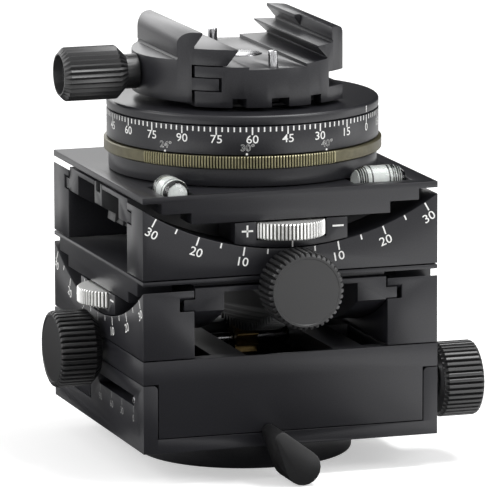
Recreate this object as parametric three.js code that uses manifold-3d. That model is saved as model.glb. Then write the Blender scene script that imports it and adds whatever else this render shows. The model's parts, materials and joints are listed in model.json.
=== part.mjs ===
// Geared tripod head: a panning base, a tray with a 90 degree tilt, two crossed arc stages driven by
// rack and pinion, a panning dial and a quick-release clamp. Millimetres, +Z up. The origin is the
// centre of the base disc's underside; the front, with the upper drive knob, faces -Y.
import * as THREE from 'three';
import { mergeVertices } from 'three/addons/utils/BufferGeometryUtils.js';
import Module from 'manifold-3d';

const wasm = await Module();
wasm.setup();

// Gaps and cutters
const fit = 0.3;
const overrun = 1;
const deg = Math.PI / 180;

// Overall body and the base
const bodyWidth = 84;
const baseRadius = 30;
const baseHeight = 8.9;
const baseChamfer = 0.6;
const spigotRadius = 9;
const insertRadius = 6;
const insertBore = 4.75;
const insertLength = 7.9;
const retainerRadius = 13;
const retainerThickness = 1;
const retainerScrewRadius = 2;
const retainerScrewLength = 3.5;

// Tray
const trayFloor = 3.8;
const trayWeb = 2.2;
const cheekThickness = 4;
const cheekHeight = 18.65;
const cheekLength = 49.1;
const cheekEdgeRound = 1.3;
const sillHeight = 5.84;
const lugInset = 5.1;
const lugThickness = 4;
const lugRadius = 6;
const shoeWidth = 9;
const shoeLength = 11.7;
const shoeHeight = 2.7;
const shoeInset = 7.7;

// Panning lock lever
const leverX = -6.2;
const leverRise = 2;
const leverThickness = 12;
const leverHeadX = -0.6;
const leverHeadRise = 2.3;
const leverHeadRadius = 1.9;
const leverTipX = 5.5;
const leverTipDrop = 6;
const leverTipRadius = 4.9;
const leverStudRadius = 1.2;
const leverStudLength = 8;

// Tilt hinge, tie rod and stays
const hingeInset = 8.7;
const hingeRise = 9;
const hingePinRadius = 2;
const hingeSkin = 0.8;
const tieRodFromHinge = 65.9;
const tieRodTravel = 30.89;
const tieRodRadius = 1.1;
const stayPinBack = 18.6;
const stayPinRise = 9.5;
const stayPinRadius = 1.2;
const stayPinOverhang = 1.8;
const stayThickness = 3.4;
const stayInset = 10.3;
const stayEyeWall = 0.8;
const stayHalfWidth = 2.4;
const stayKneeBack = 27.3;
const stayKneeRise = 2.2;
const stayDrop = 6.04;
const stayDrift = 0.85;
const stayDriftMiddle = 0.23;
const stayWall = 1;
const staySlotWall = 1.8;

// Tilt body
const bodyHeight = 21.15;
const frontWall = 4;
const sideWall = 3.1;
const deckThickness = 4.45;
const rearBlock = 22;
const sideRelief = 25.9;
const knobWell = 12.5;
const knobWellClearance = 0.4;
const bossHalf = 5;
const bossHeight = 6.25;
const farBossLength = 7.2;
const windowWidth = 6.1;
const windowLength = 29;

// Arc stages, the same for both; heights are from each stage's centre of rotation
const lowerCentre = 117.05;
const stagePitch = 22.55;
const arcRadius = 76.3;
const wallThickness = 14.5;
const lowerWallBottom = 82.3;
const upperWallBottom = 83;
const grooveInner = 78;
const grooveOuter = 81.1;
const grooveDepth = 4.1;
const railThickness = 8.15;
const railRadius = 81.1;
const railFlange = 1.3;
const tongueThickness = 2.5;
const tongueReach = 3.1;
const plateDepth = 2.24;
const lowerPlateThickness = 1.2;
const upperPlateThickness = 1.75;
const padInset = 1.6;
const upperPlateTop = 60.36;
const lowerPlateTop = 60.75;
const apronDepth = 10;
const apronHalf = 36.6;
const apronStepHalf = 28.3;
const apronDrop = 2.6;
const apronStepDrop = 5.7;

// Rack and pinion
const gearModule = 0.8;
const rackTeeth = 205;
const pinionTeeth = 10;
const rackHalfWidth = 3.4;
const pinionHalfWidth = 3.1;
const rootDepth = 0.88;
const toothShare = 0.38;
const toothLean = 0.36;
const crossSlotHalf = 1.9;
const crossSlotDepth = 2.6;

// Drive shafts and ribbed knobs
const shaftRadius = 1.5;
const bushRadius = 2.3;
const bushLength = 4.8;
const driveKnobRadius = 10.6;
const driveKnobFace = 13.4;
const driveKnobGap = 1.2;
const knobFaceChamfer = 1;
const knobBackChamfer = 2.3;
const knobRibs = 36;
const knobRibDepth = 0.7;
const knobFaceWall = 3;
const lockKnobRadius = 10.35;
const lockKnobFace = 13.8;
const lockWasherRadius = 5.5;
const lockWasherThickness = 1.7;

// Friction blocks and wheels
const blockHalf = 16;
const blockDepth = 14.2;
const wheelRadius = 11;
const wheelProud = 5.5;
const wheelThickness = 4.4;
const wheelTopDrop = 8.54;
const wheelAxleRadius = 1.5;

// Levels (spirit vials)
const vialRadius = 3.85;
const vialLength = 15.75;
const vialDome = 4;
const vialSeat = 0.9;
const rightVialFrom = 19.85;
const rightVialInset = 8.4;
const leftVialInset = 10.8;
const leftVialFrontInset = 1.3;

// Dial, lock ring and turning top
const panBaseRadius = 37;
const panBaseHeight = 4.8;
const panHubRadius = 33.7;
const panHubHeight = 8.4;
const lockRingRadius = 38.3;
const lockRingHeight = 3.29;
const dialRadius = 37.5;
const dialBottom = 9;
const dialHeight = 7.8;
const topDiscHeight = 2.6;
const topDiscChamfer = 0.5;
const spindleRadius = 12;
const spindleLength = 12.5;
const clampSeatRadius = 22;
const clampSeatHeight = 0.8;

// Quick-release clamp; heights are from the clamp's underside
const clampRadius = 30.5;
const clampFlat = 21.8;
const clampFloor = 10.35;
const clampShoulder = 11.05;
const shoulderLeft = 7.7;
const baseLipX = 8.8;
const baseLipTop = 11.25;
const grooveLowX = 15.4;
const grooveLowHeight = 12.1;
const midTipX = 12.6;
const midTipHeight = 15.3;
const midTipThickness = 0.4;
const grooveHighX = 17.8;
const grooveHighHeight = 16.5;
const topLipX = 15.8;
const topLipShortX = 17.4;
const topLipHeight = 19.3;
const topLipShortTo = 1.9;
const fixedJawHeight = 20.15;
const fixedJawRound = 2;
const footHeight = 4;
const undercutHeight = 8.15;
const undercutX = 16.3;
const fingerX = 20.8;
const fingerSlotX = 14.6;
const fingerSlotLow = 4.2;
const fingerSlotHigh = 8.1;
const notchHeight = 2.45;
const notchDepth = 9;
const notchMiddles = [-10.2, 0.9, 11.8];
const notchWidths = [3.6, 5, 3.4];
const jawGap = 0.7;
const jawBottom = 1;
const jawBaseTop = 12.1;
const jawBackX = 24.6;
const jawFootHeight = 13.3;
const jawHeight = 20.2;
const jawRound = 3.6;
const jawTipX = 19.1;
const jawTipThickness = 0.6;
const jawGrooveX = 20.9;
const jawShelfHeight = 15.8;
const jawLipX = 10.5;
const jawLipUnderX = 13.4;
const jawOverlap = 11.4;
const centreScrewRadius = 5.2;
const centreScrewRise = 0.25;
const centreScrewHead = 3;
const centreScrewShank = 3;
const clampScrewRadius = 2.2;
const clampScrewHeight = 7.1;
const clampScrewEnd = 6.6;
const clampKnobRadius = 7.4;
const clampKnobBack = 34;
const clampKnobLength = 18.6;
const clampNeckRadius = 4.8;
const clampKnobBackChamfer = 2.8;
const clampKnobFaceChamfer = 1.6;
const clampKnobDish = 5.4;
const clampKnobDishDepth = 2.2;
const clampKnobRibs = 30;
const clampInsertRadius = 4.6;
const clampInsertThickness = 1.2;
const stopPegRadius = 1.35;
const stopPegRise = 4.6;
const stopPegLength = 9;
const stopPegReach = 26.6;
const stopPegBackDrop = 1.2;
const stopPegTravel = 3.6;

// Smoothness of round things
const roundSides = 28;
const smallSides = 12;
const largeSides = 60;
const arcSteps = 6;

// Places worked out from the sizes above
const half = bodyWidth / 2;
const trayBottom = baseHeight + fit;
const floorTop = trayBottom + trayFloor;
const cheekInner = half - cheekThickness;
const cheekTop = trayBottom + cheekHeight;
const cheekBack = cheekLength - half;
const sillTop = trayBottom + sillHeight;
const bodyBottom = floorTop + fit;
const bodyTop = bodyBottom + bodyHeight;
const hingeY = half - hingeInset;
const hingeZ = bodyBottom + hingeRise;
const tieRodY = hingeY - tieRodFromHinge;
const stayPinY = hingeY - stayPinBack;
const stayPinZ = hingeZ + stayPinRise;
const stayOuter = half - stayInset;
const stayInner = stayOuter - stayThickness;
const lugOuter = half - lugInset;
const lugInner = lugOuter - lugThickness;
const upperCentre = lowerCentre + stagePitch;
const rackPitchRadius = gearModule * rackTeeth / 2;
const pinionPitchRadius = gearModule * pinionTeeth / 2;
const rackTipRadius = rackPitchRadius + gearModule;
const pinionTipRadius = pinionPitchRadius + gearModule;
const shaftDrop = rackPitchRadius + pinionPitchRadius;
const lowerShaftZ = lowerCentre - shaftDrop;
const upperShaftZ = upperCentre - shaftDrop;
const wallInner = half - wallThickness;
const railOuter = wallInner - fit;
const knobSweep = shaftDrop - stagePitch + driveKnobRadius;
const wellRadius = Math.hypot(half + driveKnobFace - knobFaceChamfer, knobSweep) + knobWellClearance;
const driveKnobBack = half + driveKnobGap;
const topPlateTop = upperCentre - upperPlateTop;
const panBottom = topPlateTop + fit;
const dialTop = panBottom + dialBottom + dialHeight - fit;
const discBottom = dialTop + fit;
const discTop = discBottom + topDiscHeight;
const clampBottom = discTop + clampSeatHeight + fit;

// Colours of the finishes
const blackAnodised = { color: 0x2c2d2f, roughness: 0.42, metalness: 0.55 };
const blackKnob = { color: 0x232324, roughness: 0.5, metalness: 0.4 };
const greyAnodised = { color: 0x6f7172, roughness: 0.4, metalness: 0.6 };
const bronzeAnodised = { color: 0x5d553a, roughness: 0.45, metalness: 0.6 };
const brightSteel = { color: 0xc8c9ca, roughness: 0.25, metalness: 1 };
const brass = { color: 0xb08d4a, roughness: 0.35, metalness: 1 };
const clearAcrylic = { color: 0xe6ecec, roughness: 0.08, metalness: 0 };

// Turn that brings the upper stage's frame into the lower stage's
const crossTurn = [0, 0, 90];

// The place of a round piece that lies on the middle axis
const onAxis = [0, 0, 0];

const head = new THREE.Group();

// Turns a closed geometry into a solid that can be joined and cut
function toSolid(geometry) {
  const bare = geometry.clone();
  bare.deleteAttribute('normal');
  bare.deleteAttribute('uv');
  const merged = mergeVertices(bare);
  const index = merged.index.array;
  const triangles = [];
  for (let i = 0; i < index.length; i += 3) {
    const [a, b, c] = [index[i], index[i + 1], index[i + 2]];
    if (a !== b && b !== c && c !== a) triangles.push(a, b, c);
  }
  const vertProperties = new Float32Array(merged.attributes.position.array);
  const triVerts = new Uint32Array(triangles);
  return new wasm.Manifold(new wasm.Mesh({ numProp: 3, vertProperties, triVerts }));
}

// Turns a solid back into a flat-shaded geometry
function toGeometry(solid) {
  const mesh = solid.getMesh();
  const positions = new Float32Array(mesh.vertProperties.length);
  positions.set(mesh.vertProperties);
  const geometry = new THREE.BufferGeometry();
  geometry.setAttribute('position', new THREE.BufferAttribute(positions, 3));
  geometry.setIndex(new THREE.BufferAttribute(new Uint32Array(mesh.triVerts), 1));
  geometry.computeVertexNormals();
  return geometry;
}

// Adds one named piece to a group
function piece(group, name, solid, finish) {
  const mesh = new THREE.Mesh(toGeometry(solid), new THREE.MeshStandardMaterial(finish));
  mesh.name = name;
  group.add(mesh);
  return mesh;
}

const axisX = new THREE.Vector3(1, 0, 0);
const axisY = new THREE.Vector3(0, 1, 0);
const axisZ = new THREE.Vector3(0, 0, 1);
const pushAlongX = new THREE.Matrix4().makeBasis(axisY, axisZ, axisX);
const pushAlongY = new THREE.Matrix4().makeBasis(axisX, axisZ, axisY.clone().negate());

// Pushes an outline along an axis: (y, z) along x, (x, z) along y, or (x, y) along z
function prism(shape, axis, from, to, steps = arcSteps) {
  const settings = { depth: to - from, bevelEnabled: false, curveSegments: steps };
  const geometry = new THREE.ExtrudeGeometry(shape, settings);
  if (axis === 'x') geometry.applyMatrix4(pushAlongX).translate(from, 0, 0);
  if (axis === 'y') geometry.applyMatrix4(pushAlongY).translate(0, to, 0);
  if (axis === 'z') geometry.translate(0, 0, from);
  return toSolid(geometry);
}

function outline(points) {
  return new THREE.Shape(points.map(([a, b]) => new THREE.Vector2(a, b)));
}

function box(x0, x1, y0, y1, z0, z1) {
  const geometry = new THREE.BoxGeometry(x1 - x0, y1 - y0, z1 - z0);
  return toSolid(geometry.translate((x0 + x1) / 2, (y0 + y1) / 2, (z0 + z1) / 2));
}

// Revolves a profile of [radius, height] points about an axis through the given place
function turned(profile, axis, place = onAxis, sides = roundSides) {
  const geometry = new THREE.LatheGeometry(profile.map(([r, h]) => new THREE.Vector2(r, h)), sides);
  if (axis === 'z') geometry.rotateX(Math.PI / 2);
  if (axis === 'x') geometry.rotateZ(-Math.PI / 2);
  return toSolid(geometry.translate(...place));
}

function rod(radius, axis, from, to, place = onAxis, sides = roundSides) {
  return turned([[0, from], [radius, from], [radius, to], [0, to]], axis, place, sides);
}

function tube(bore, radius, axis, from, to, place = onAxis, sides = roundSides) {
  const profile = [[bore, from], [radius, from], [radius, to], [bore, to], [bore, from]];
  return turned(profile, axis, place, sides);
}

// A strip of even width with round ends, from one point to another
function strip(a, b, radius) {
  const angle = Math.atan2(b[1] - a[1], b[0] - a[0]);
  const shape = new THREE.Shape();
  shape.absarc(b[0], b[1], radius, angle - Math.PI / 2, angle + Math.PI / 2, false);
  shape.absarc(a[0], a[1], radius, angle + Math.PI / 2, angle + 3 * Math.PI / 2, false);
  return shape;
}

// The part of a disc below a chord, as wide as the body: the shape of rails and racks
function segmentShape(radius, top, halfWidth) {
  const spread = Math.asin(halfWidth / radius);
  const shape = new THREE.Shape();
  shape.absarc(0, 0, radius, -Math.PI / 2 - spread, -Math.PI / 2 + spread, false);
  shape.lineTo(halfWidth, top);
  shape.lineTo(-halfWidth, top);
  return shape;
}

// A band between two radii, about the lowest point of the circle
function bandShape(inner, outer, spread) {
  const shape = new THREE.Shape();
  shape.absarc(0, 0, outer, -Math.PI / 2 - spread, -Math.PI / 2 + spread, false);
  shape.absarc(0, 0, inner, -Math.PI / 2 + spread, -Math.PI / 2 - spread, true);
  return shape;
}

// Tooth flank points at one pitch angle, from root to root over the tip
function toothPoints(pitchRadius, root, middle) {
  const halfAtPitch = Math.PI * gearModule * toothShare / 2;
  const halfAtTip = halfAtPitch - gearModule * toothLean;
  const halfAtRoot = halfAtPitch + (pitchRadius - root) * toothLean;
  const tip = pitchRadius + gearModule;
  const at = (radius, sideways) => {
    const angle = middle + sideways / radius;
    return [radius * Math.cos(angle), radius * Math.sin(angle)];
  };
  return [at(root, -halfAtRoot), at(tip, -halfAtTip), at(tip, halfAtTip), at(root, halfAtRoot)];
}

const gearRootDepth = gearModule + rootDepth - fit;

// A ribbed knob from its back to its face along an axis, with both rims chamfered. The skin runs through
// four rings of points that lie on crests and valleys in turn.
function ribbedKnob(radius, axis, back, face, backChamfer, faceChamfer, ribs) {
  const turn = Math.sign(face - back);
  const rings = [[back, radius - backChamfer], [back + turn * backChamfer, radius]];
  rings.push([face - turn * faceChamfer, radius], [face, radius - faceChamfer]);
  if (turn < 0) rings.reverse();
  const sides = 2 * ribs;
  const points = [];
  for (const [height, limit] of rings) {
    for (let i = 0; i < sides; i += 1) {
      const reach = Math.min(limit, radius - knobRibDepth * (i % 2));
      const angle = i * Math.PI / ribs;
      const [a, b] = [reach * Math.cos(angle), reach * Math.sin(angle)];
      points.push(...(axis === 'x' ? [height, a, b] : [b, height, a]));
    }
  }
  const faces = [];
  for (let i = 0; i < sides; i += 1) {
    const next = (i + 1) % sides;
    for (let row = 0; row + 1 < rings.length; row += 1) {
      const [a, b] = [row * sides + i, row * sides + next];
      faces.push(a, b, a + sides, b, b + sides, a + sides);
    }
  }
  const last = (rings.length - 1) * sides;
  for (let i = 1; i + 1 < sides; i += 1) faces.push(0, i + 1, i, last, last + i, last + i + 1);
  const geometry = new THREE.BufferGeometry();
  geometry.setAttribute('position', new THREE.BufferAttribute(new Float32Array(points), 3));
  geometry.setIndex(faces);
  return toSolid(geometry);
}

// Base disc with its spigot, the threaded insert, and the plate and screw that hold the tray on it
function buildBase() {
  const spigotTop = trayBottom + trayWeb;
  const profile = [[0, 0], [baseRadius - baseChamfer, 0], [baseRadius, baseChamfer]];
  profile.push([baseRadius, baseHeight - baseChamfer], [baseRadius - baseChamfer, baseHeight]);
  profile.push([spigotRadius, baseHeight], [spigotRadius, spigotTop], [0, spigotTop]);
  const socketTop = insertLength + 2 * fit;
  const screwBottom = spigotTop + fit + retainerThickness - retainerScrewLength;
  const disc = turned(profile, 'z', onAxis, largeSides)
    .subtract(rod(insertRadius + fit, 'z', -overrun, socketTop))
    .subtract(rod(retainerScrewRadius + fit, 'z', screwBottom - fit, spigotTop + overrun, onAxis, smallSides));
  piece(head, 'base_disc', disc, blackAnodised);
  piece(head, 'thread_insert', tube(insertBore, insertRadius, 'z', fit, fit + insertLength), brightSteel);
  const retainerBottom = spigotTop + fit;
  const retainerTop = retainerBottom + retainerThickness;
  const retainer = tube(retainerScrewRadius + fit, retainerRadius, 'z', retainerBottom, retainerTop);
  piece(head, 'pan_retainer', retainer, brightSteel);
  const screw = rod(retainerScrewRadius, 'z', screwBottom, retainerTop, onAxis, smallSides);
  piece(head, 'pan_retainer_screw', screw, brightSteel);
}

// Tray: a floor, two cheeks with slots for the tie rod, low sills behind them and two hinge lugs
function buildTray() {
  const clearRadius = hingeRise + fit;
  const sillSpread = Math.acos((hingeZ - sillTop) / clearRadius);
  const side = new THREE.Shape();
  side.moveTo(-half, trayBottom);
  side.lineTo(half, trayBottom);
  side.lineTo(half, floorTop);
  side.lineTo(hingeY, floorTop);
  side.absarc(hingeY, hingeZ, clearRadius, -Math.PI / 2, -Math.PI / 2 - sillSpread, true);
  side.lineTo(cheekBack, sillTop);
  side.lineTo(cheekBack, cheekTop);
  side.lineTo(-half, cheekTop);
  const edge = new THREE.Shape();
  const roundX = cheekInner + cheekEdgeRound;
  edge.absarc(roundX, cheekTop - cheekEdgeRound, cheekEdgeRound, Math.PI, Math.PI / 2, true);
  edge.lineTo(half, cheekTop);
  edge.lineTo(half, trayBottom);
  edge.lineTo(cheekInner, trayBottom);
  const cheek = prism(side, 'x', cheekInner, half).intersect(prism(edge, 'y', -half, half, arcSteps / 2));
  const slotHalf = tieRodRadius + fit;
  const slotShape = strip([tieRodY, hingeZ], [tieRodY + tieRodTravel, hingeZ], slotHalf);
  const lug = new THREE.Shape();
  lug.moveTo(hingeY - lugRadius, trayBottom);
  lug.lineTo(hingeY + lugRadius, trayBottom);
  lug.absarc(hingeY, hingeZ, lugRadius, 0, Math.PI, false);
  let tray = box(-half, half, -half, half, trayBottom, floorTop);
  for (const sign of [-1, 1]) {
    const [low, high] = sign > 0 ? [cheekInner, half] : [-half, -cheekInner];
    const [lugLow, lugHigh] = sign > 0 ? [lugInner, lugOuter] : [-lugOuter, -lugInner];
    tray = tray.add(sign > 0 ? cheek : cheek.mirror([1, 0, 0]))
      .subtract(prism(slotShape, 'x', low - overrun, high + overrun))
      .add(prism(lug, 'x', lugLow, lugHigh));
  }
  const webTop = trayBottom + trayWeb;
  const shoeBack = -half + shoeInset + shoeLength + fit;
  tray = tray
    .subtract(rod(spigotRadius + fit, 'z', trayBottom - overrun, floorTop + overrun))
    .subtract(rod(retainerRadius + fit, 'z', webTop, floorTop + overrun))
    .subtract(rod(hingePinRadius + fit, 'x', -half, half, [0, hingeY, hingeZ], smallSides))
    .subtract(box(leverX - shoeWidth / 2 - fit, leverX + shoeWidth / 2 + fit, -half + shoeInset - fit, shoeBack,
      trayBottom - overrun, trayBottom + shoeHeight + fit))
    .subtract(rod(leverStudRadius + fit, 'y', -half - overrun, -half + shoeInset,
      [leverX, 0, trayBottom + leverRise], smallSides));
  piece(head, 'tray', tray, blackAnodised);
  const shoe = box(leverX - shoeWidth / 2, leverX + shoeWidth / 2, -half + shoeInset, shoeBack - fit,
    trayBottom, trayBottom + shoeHeight);
  piece(head, 'pan_brake_shoe', shoe, brass);
  const pinEnd = half - hingeSkin - fit;
  const pin = rod(hingePinRadius, 'x', -pinEnd, pinEnd, [0, hingeY, hingeZ], smallSides);
  piece(head, 'tilt_hinge_pin', pin, brightSteel);
}

// Lever that locks the panning base: a thick teardrop paddle on a stud
function buildLever() {
  const z = trayBottom + leverRise;
  const back = -half - fit;
  const headMiddle = [leverX + leverHeadX, z + leverHeadRise];
  const tip = [leverX + leverTipX, z - leverTipDrop];
  const run = [tip[0] - headMiddle[0], tip[1] - headMiddle[1]];
  const spread = Math.asin((leverTipRadius - leverHeadRadius) / Math.hypot(...run));
  const aim = Math.atan2(run[1], run[0]);
  const quarter = Math.PI / 2;
  const paddle = new THREE.Shape();
  paddle.absarc(...headMiddle, leverHeadRadius, aim + quarter + spread, aim + 3 * quarter - spread, false);
  paddle.absarc(...tip, leverTipRadius, aim - quarter - spread, aim + quarter + spread, false);
  const studEnd = -half + leverStudLength - fit;
  const lever = prism(paddle, 'y', back - leverThickness, back)
    .add(rod(leverStudRadius, 'y', back - overrun, studEnd, [leverX, 0, z], smallSides));
  piece(head, 'pan_lock_lever', lever, blackKnob);
}

// Tie rod, its washer and the tilt lock knob
function buildTieRod() {
  const place = [0, tieRodY, hingeZ];
  const face = half + lockKnobFace;
  const back = half + fit + lockWasherThickness + fit;
  const rodEnd = face - knobFaceWall;
  piece(head, 'tie_rod', rod(tieRodRadius, 'x', -half, rodEnd, place, smallSides), brightSteel);
  const washer = tube(tieRodRadius + fit, lockWasherRadius, 'x', half + fit, back - fit, place);
  piece(head, 'tilt_lock_washer', washer, brightSteel);
  const knob = ribbedKnob(lockKnobRadius, 'x', back, face, knobFaceChamfer, knobFaceChamfer, knobRibs)
    .subtract(rod(tieRodRadius + fit, 'x', back - overrun, rodEnd + fit, onAxis, smallSides))
    .translate(place);
  piece(head, 'tilt_lock_knob', knob, blackKnob);
}

// One stay from the tie rod to the tilt body, with a slot where the rod runs, and its pin
function stayShape(sign) {
  const [low, high] = sign > 0 ? [stayInner, stayOuter] : [-stayOuter, -stayInner];
  const rodEye = [tieRodY, hingeZ];
  const pinEye = [stayPinY, stayPinZ];
  const knee = [hingeY - stayKneeBack, hingeZ + stayKneeRise];
  const slope = Math.atan2(stayPinZ - hingeZ, stayPinY - tieRodY);
  const slotHalf = tieRodRadius + stayDrift + fit;
  const along = (reach, drop) => [
    rodEye[0] + reach * Math.cos(slope) + drop * Math.sin(slope),
    rodEye[1] + reach * Math.sin(slope) - drop * Math.cos(slope),
  ];
  const slotStart = along(stayDriftMiddle, slotHalf - tieRodRadius - fit);
  const slotEnd = along(stayDriftMiddle, stayDrop + tieRodRadius + fit - slotHalf);
  const eyeRadius = stayPinRadius + fit + stayEyeWall;
  const pinPlace = [0, stayPinY, stayPinZ];
  return prism(strip(slotStart, slotEnd, slotHalf + stayWall), 'x', low, high)
    .add(prism(strip(slotStart, knee, stayHalfWidth), 'x', low, high))
    .add(prism(strip(knee, pinEye, eyeRadius), 'x', low, high))
    .subtract(prism(strip(slotStart, slotEnd, slotHalf), 'x', low - overrun, high + overrun))
    .subtract(rod(stayPinRadius + fit, 'x', low - overrun, high + overrun, pinPlace, smallSides));
}

function buildStays() {
  for (const [name, sign] of [['left', -1], ['right', 1]]) {
    piece(head, `stay_${name}`, stayShape(sign), greyAnodised);
    const [near, far] = [stayInner - stayPinOverhang, stayOuter + stayPinOverhang];
    const [low, high] = sign > 0 ? [near, far] : [-far, -near];
    const pin = rod(stayPinRadius, 'x', low, high, [0, stayPinY, stayPinZ], smallSides);
    piece(head, `stay_pin_${name}`, pin, brightSteel);
  }
}

// Tilt body: a deep frame open below, with a well for the swinging front knob and bosses for the shaft
function buildTiltBody() {
  const bodySide = new THREE.Shape();
  bodySide.absarc(hingeY, hingeZ, hingeRise, -Math.PI / 2, -Math.acos(hingeInset / hingeRise), false);
  for (const [y, z] of [[half, bodyTop], [-half, bodyTop], [-half, bodyBottom]]) bodySide.lineTo(y, z);
  const ledge = cheekTop + fit;
  const sideTop = outline([[-half, ledge], [half, ledge], [half, bodyTop], [-half, bodyTop]]);
  const sillClear = sillTop + fit;
  const flank = new THREE.Shape();
  const flankLow = Math.asin((hingeZ - sillClear) / sideRelief);
  const sillReach = Math.acos((hingeZ - sillClear) / hingeRise);
  flank.absarc(hingeY, hingeZ, sideRelief, Math.PI, Math.PI + flankLow, false);
  flank.absarc(hingeY, hingeZ, hingeRise, -Math.PI / 2 - sillReach, -Math.acos(hingeInset / hingeRise), false);
  flank.lineTo(half, bodyTop);
  flank.lineTo(hingeY - sideRelief, bodyTop);
  const sideInner = cheekInner - fit;
  const cavityHalf = sideInner - sideWall;
  const cavityTop = bodyTop - deckThickness;
  const cavityBack = half - rearBlock;
  let body = prism(bodySide, 'x', -sideInner, sideInner)
    .subtract(box(-cavityHalf, cavityHalf, -half + frontWall, cavityBack, bodyBottom - overrun, cavityTop))
    .add(prism(sideTop, 'x', -half, -cavityHalf - sideWall / 2))
    .add(prism(sideTop, 'x', cavityHalf + sideWall / 2, half))
    .add(prism(flank, 'x', -half, -cavityHalf - sideWall / 2))
    .add(prism(flank, 'x', cavityHalf + sideWall / 2, half));
  const wellBack = bossHalf + 2 * fit;
  const well = rod(wellRadius, 'x', -knobWell, knobWell, [0, 0, lowerCentre], 2 * largeSides)
    .intersect(box(-knobWell, knobWell, -half - overrun, wellBack, bodyBottom, bodyTop + overrun));
  body = body
    .add(box(-half + fit, -knobWell, -bossHalf, bossHalf, bodyTop - bossHeight, bodyTop - fit))
    .add(box(knobWell, knobWell + farBossLength, -bossHalf, bossHalf, bodyTop - bossHeight, bodyTop - fit))
    .subtract(well)
    .subtract(box(-knobWell, knobWell, -half + frontWall, wellBack, bodyBottom, bodyTop + overrun));
  const shaftPlace = [0, 0, lowerShaftZ];
  const bushEnd = half - fit - bushLength;
  const [grooveHalf, shaftEnd] = [rackHalfWidth + fit, knobWell + farBossLength - overrun];
  const arcPlace = [0, 0, lowerCentre];
  const farBushEnd = knobWell + fit + bushLength + fit;
  const pinRoom = half - hingeSkin;
  body = body
    .subtract(rod(shaftRadius + fit, 'x', -half - overrun, shaftEnd, shaftPlace, smallSides))
    .subtract(rod(bushRadius + fit, 'x', -half - overrun, -bushEnd, shaftPlace, smallSides))
    .subtract(rod(bushRadius + fit, 'x', knobWell - overrun, farBushEnd, shaftPlace, smallSides))
    .subtract(rod(rackTipRadius + fit, 'x', -grooveHalf, grooveHalf, arcPlace, 2 * largeSides))
    .subtract(rod(hingePinRadius + fit, 'x', -pinRoom, pinRoom, [0, hingeY, hingeZ], smallSides));
  // As the body tilts up, the tie rod leaves it through an open slot in each side wall
  const exitTurn = Math.asin(hingeRise / tieRodFromHinge);
  const exitReach = (tieRodFromHinge - tieRodTravel * exitTurn / (Math.PI / 2)) * Math.cos(exitTurn);
  const rodSlot = strip([tieRodY, hingeZ], [hingeY - exitReach, bodyBottom], tieRodRadius + 2 * fit);
  body = body.subtract(prism(rodSlot, 'x', -half, half));
  const windowFront = -half + frontWall;
  for (const x of [-wallInner, wallInner - windowWidth]) {
    body = body.subtract(box(x, x + windowWidth, windowFront, windowFront + windowLength,
      cavityTop - overrun, bodyTop + overrun));
  }
  const lugClear = lugRadius + fit;
  const stayBack = hingeY - hingePinRadius - staySlotWall;
  for (const sign of [-1, 1]) {
    const [lugLow, lugHigh] = sign > 0 ? [lugInner - fit, lugOuter + fit] : [-lugOuter - fit, -lugInner + fit];
    const [slotNear, slotFar] = [stayInner - fit, stayOuter + fit];
    const [stayLow, stayHigh] = sign > 0 ? [slotNear, slotFar] : [-slotFar, -slotNear];
    const pinLow = sign > 0 ? stayInner - stayPinOverhang - fit : -stayOuter - stayPinOverhang - fit;
    const pinHigh = sign > 0 ? stayOuter + stayPinOverhang + fit : -stayInner + stayPinOverhang + fit;
    body = body
      .subtract(rod(lugClear, 'x', lugLow, lugHigh, [0, hingeY, hingeZ]))
      .subtract(box(lugLow, lugHigh, hingeY - lugClear, half + overrun, bodyBottom - overrun, hingeZ))
      .subtract(box(lugLow, lugHigh, hingeY, half + overrun, bodyBottom - overrun, hingeZ + lugClear))
      .subtract(box(stayLow, stayHigh, bossHalf + 2 * fit, stayBack, bodyBottom - overrun, bodyTop + overrun))
      .subtract(rod(stayPinRadius + fit, 'x', pinLow, pinHigh, [0, stayPinY, stayPinZ], smallSides));
  }
  piece(head, 'tilt_body', body, blackAnodised);
}

// A stage's own frame has its centre of rotation at the origin, its axis along y and its front at -y
function stageGroup(centre, turn) {
  const group = new THREE.Group();
  group.position.z = centre;
  group.rotation.z = turn;
  head.add(group);
  return group;
}

// Arc guide wall with a T-groove in its inner face; side is -1 for the front and 1 for the back
function wall(side, bottom) {
  const rise = Math.sqrt(arcRadius * arcRadius - half * half);
  const spread = Math.asin(half / arcRadius);
  const shape = new THREE.Shape();
  shape.moveTo(-half, -bottom);
  shape.lineTo(half, -bottom);
  shape.lineTo(half, -rise);
  shape.absarc(0, 0, arcRadius, -Math.PI / 2 + spread, -Math.PI / 2 - spread, true);
  const grooveSpread = Math.asin(half / grooveInner) + 2 * deg;
  const groove = bandShape(grooveInner, grooveOuter, grooveSpread);
  const [low, high] = side < 0 ? [-half, -wallInner] : [wallInner, half];
  const [cutLow, cutHigh] = side < 0
    ? [-wallInner - grooveDepth, -wallInner + overrun]
    : [wallInner - overrun, wallInner + grooveDepth];
  return prism(shape, 'y', low, high, 2 * arcSteps)
    .subtract(prism(groove, 'y', cutLow, cutHigh, 2 * arcSteps));
}

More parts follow.
